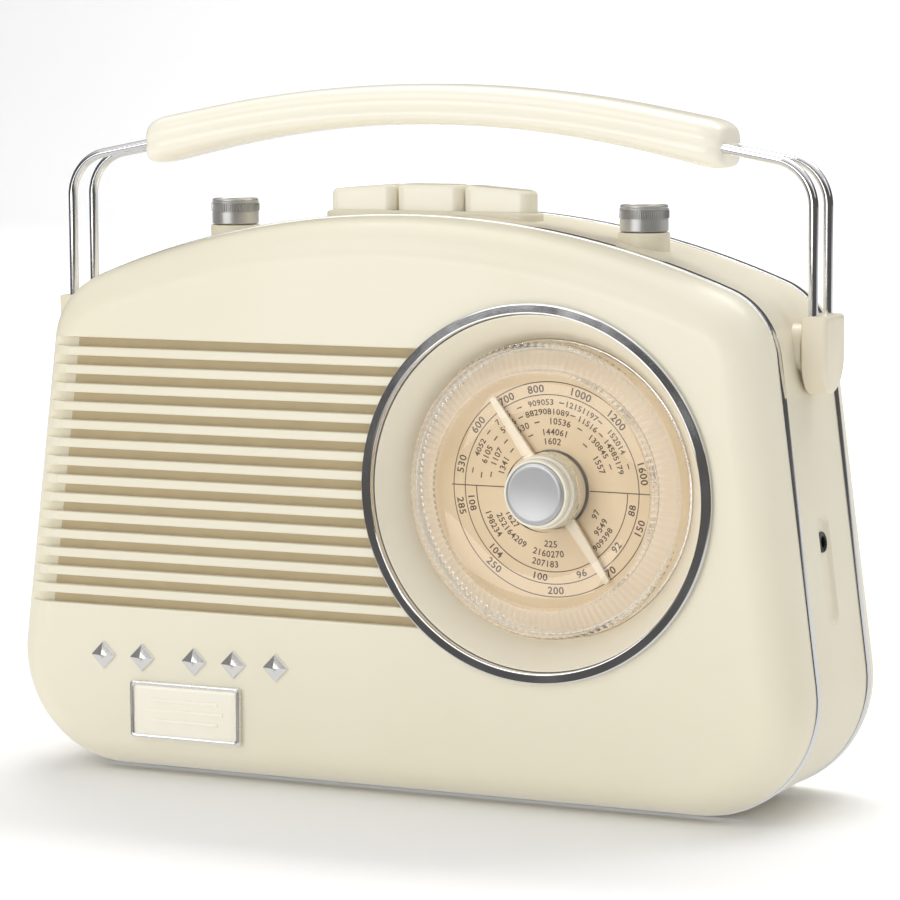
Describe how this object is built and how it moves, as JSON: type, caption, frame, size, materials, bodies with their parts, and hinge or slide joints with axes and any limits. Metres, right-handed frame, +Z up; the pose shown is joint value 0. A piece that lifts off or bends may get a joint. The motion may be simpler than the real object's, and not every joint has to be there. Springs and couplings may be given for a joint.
{
  "type": "portable table radio",
  "caption": "Arched portable table radio with slotted grille, deep round tuning dial, piano keys, top knobs, swinging rod handle, battery hatch and folding rod aerial.",
  "frame": {"origin": "on the table, under the middle of the radio's whole bounding box", "axes": "+X to the right of someone facing the dial, +Y towards the back, +Z up; the dial faces -Y"},
  "size_m": [0.2846, 0.0951, 0.2303],
  "materials": {
    "front_shell": "smooth satin cream",
    "middle_band": "smooth satin cream",
    "rear_shell": "smooth satin cream",
    "trim_chrome": "bright plated",
    "foot_rubber": "matt black",
    "screw_steel": "zinc plated",
    "grille_cloth": "fine woven tan",
    "baffle_board": "pressed board",
    "basket_steel": "plated sheet",
    "magnet": "dark",
    "cone_paper": "black pressed paper",
    "stud_chrome": "bright plated",
    "plate_cream": "gloss cream",
    "plate_frame_chrome": "bright plated",
    "bezel_chrome": "bright plated",
    "surround_cream": "satin cream",
    "dial_tan": "satin tan, printed scale",
    "lens_clear": "clear, ribbed rim",
    "tuning_cream": "gloss cream",
    "tuning_silver": "turned, bright edge",
    "pointer_cream": "pale cream",
    "shaft_steel": "turned",
    "gang": "clear grey",
    "knob_silver": "satin with knurled band",
    "pot_body": "plated",
    "key_cream": "gloss pale cream",
    "spring_steel": "bright wire",
    "switch_body": "dark",
    "grip_cream": "gloss pale cream",
    "rod_chrome": "bright plated",
    "block_cream": "satin cream",
    "board": "tan laminate",
    "board_parts": "mixed small parts",
    "ferrite": "dark sintered",
    "coil_copper": "wound enamelled wire",
    "transformer": "varnished laminations",
    "inlet_black": "black",
    "battery_box": "black",
    "cell": "printed metal jacket, plain",
    "contact": "nickel plated",
    "socket_black": "black",
    "aerial_chrome": "bright plated"
  },
  "bodies": {
    "case": {"front_shell": "front_shell", "middle_band": "middle_band", "rear_shell": "rear_shell", "chrome_trims": "trim_chrome", "feet": "foot_rubber", "screws": "screw_steel", "grille_cloth": "grille_cloth", "speaker_baffle": "baffle_board", "speaker_basket": "basket_steel", "speaker_magnet": "magnet", "speaker_cone": "cone_paper", "name_studs": "stud_chrome", "name_plate": "plate_cream", "name_plate_frame": "plate_frame_chrome", "dial_bezel": "bezel_chrome", "dial_surround": "surround_cream", "dial_plate": "dial_tan", "dial_lens": "lens_clear", "tuning_gang": "gang", "control_pots": "pot_body", "key_spring_left": "spring_steel", "key_spring_middle": "spring_steel", "key_spring_right": "spring_steel", "switch_bank": "switch_body", "handle_pivots": "shaft_steel", "main_board": "board", "board_parts": "board_parts", "ferrite_rod": "ferrite", "aerial_coils": "coil_copper", "transformer": "transformer", "mains_inlet": "inlet_black", "battery_box": "battery_box", "battery_cells": "cell", "battery_contacts": "contact", "jack_socket": "socket_black", "aerial_bracket": "aerial_chrome"},
    "tuner": {"tuning_knob": "tuning_cream", "tuning_cap": "tuning_silver", "pointer": "pointer_cream", "tuning_shaft": "shaft_steel"},
    "volume": {"volume_knob": "knob_silver", "volume_spindle": "shaft_steel"},
    "tone": {"tone_knob": "knob_silver", "tone_spindle": "shaft_steel"},
    "key_l": {"key_left": "key_cream"},
    "key_m": {"key_middle": "key_cream"},
    "key_r": {"key_right": "key_cream"},
    "handle": {"grip_top": "grip_cream", "grip_bottom": "grip_cream", "grip_screws": "screw_steel", "handle_rod_front": "rod_chrome", "handle_rod_rear": "rod_chrome", "handle_block_left": "block_cream", "handle_block_right": "block_cream"},
    "door": {"battery_door": "rear_shell"},
    "knuckle": {"aerial_knuckle": "aerial_chrome"},
    "mast": {"aerial_tube_outer": "aerial_chrome"},
    "mast_middle": {"aerial_tube_middle": "aerial_chrome"},
    "mast_tip": {"aerial_tip": "aerial_chrome"}
  },
  "joints": [
    {"name": "tuning_turn", "type": "hinge", "parent": "case", "child": "tuner", "pos_m": [0.0536, -0.03385, 0.1025], "axis": [0, 1, 0], "range_deg": [-50, 120]},
    {"name": "volume_turn", "type": "hinge", "parent": "case", "child": "volume", "pos_m": [-0.0744, -0.00585, 0.1865], "axis": [0, 0, 1], "range_deg": [-150, 150]},
    {"name": "tone_turn", "type": "hinge", "parent": "case", "child": "tone", "pos_m": [0.0744, -0.00585, 0.1865], "axis": [0, 0, 1], "range_deg": [-150, 150]},
    {"name": "key_left_press", "type": "slide", "parent": "case", "child": "key_l", "axis": [0, 0, -1], "range_m": [0, 0.0035], "stiffness_N_per_m": 300, "springref_m": -0.003, "deforming": ["key_spring_left"]},
    {"name": "key_middle_press", "type": "slide", "parent": "case", "child": "key_m", "axis": [0, 0, -1], "range_m": [0, 0.0035], "stiffness_N_per_m": 300, "springref_m": -0.003, "deforming": ["key_spring_middle"]},
    {"name": "key_right_press", "type": "slide", "parent": "case", "child": "key_r", "axis": [0, 0, -1], "range_m": [0, 0.0035], "stiffness_N_per_m": 300, "springref_m": -0.003, "deforming": ["key_spring_right"]},
    {"name": "handle_swing", "type": "hinge", "parent": "case", "child": "handle", "pos_m": [0, -0.00585, 0.1475], "axis": [1, 0, 0], "range_deg": [-90, 90]},
    {"name": "battery_door_open", "type": "hinge", "parent": "case", "child": "door", "pos_m": [0, 0.03635, 0.0269], "axis": [-1, 0, 0], "range_deg": [0, 90]},
    {"name": "aerial_swivel", "type": "hinge", "parent": "case", "child": "knuckle", "pos_m": [0.098, 0.04435, 0.1295], "axis": [0, 1, 0], "range_deg": [0, 180]},
    {"name": "aerial_tilt", "type": "hinge", "parent": "knuckle", "child": "mast", "pos_m": [0.098, 0.04435, 0.1295], "axis": [0, 0, -1], "range_deg": [0, 90]},
    {"name": "aerial_draw_middle", "type": "slide", "parent": "mast", "child": "mast_middle", "axis": [-1, 0, 0], "range_m": [0, 0.1]},
    {"name": "aerial_draw_tip", "type": "slide", "parent": "mast_middle", "child": "mast_tip", "axis": [-1, 0, 0], "range_m": [0, 0.095]}
  ]
}
